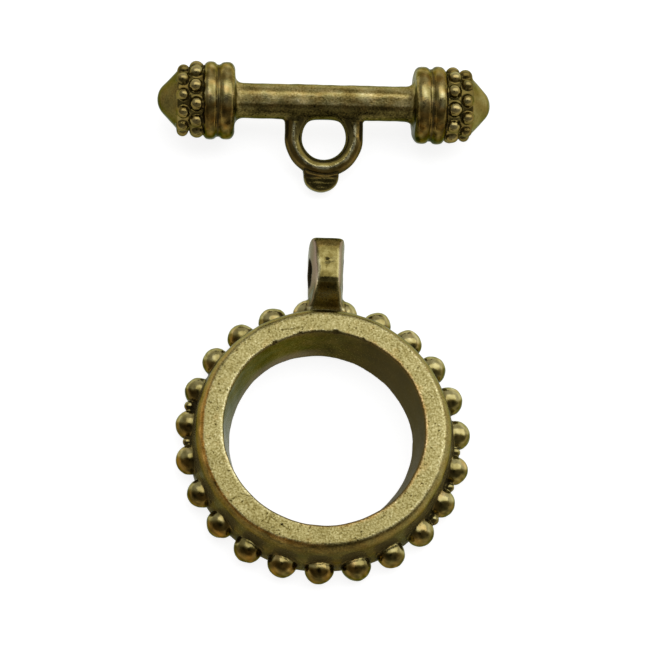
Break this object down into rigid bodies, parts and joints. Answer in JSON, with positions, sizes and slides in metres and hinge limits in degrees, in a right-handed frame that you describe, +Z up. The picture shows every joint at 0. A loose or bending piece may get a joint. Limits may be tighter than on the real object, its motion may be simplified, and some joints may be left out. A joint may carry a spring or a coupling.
{
  "type": "toggle clasp",
  "caption": "Toggle clasp in antique bronze: a round ring with a beaded rim and a bail, and a bar with collared, granulated, pointed caps and a loop.",
  "frame": {"origin": "middle of the ring's hole, in the plane of the surface that both castings lie on", "axes": "+Z up from that surface, along the ring's hole; +Y from the ring's middle along its bail towards the bar; +X along the bar"},
  "size_m": [0.0296, 0.0469, 0.0069],
  "materials": {
    "ring_bronze": "antique bronze plating, worn bright on the flat faces and dark in the hollows",
    "bar_bronze": "antique bronze plating, worn bright along the upper sides and dark in the grooves"
  },
  "bodies": {
    "root": {"toggle_ring": "ring_bronze", "toggle_bar": "bar_bronze"}
  },
  "joints": []
}
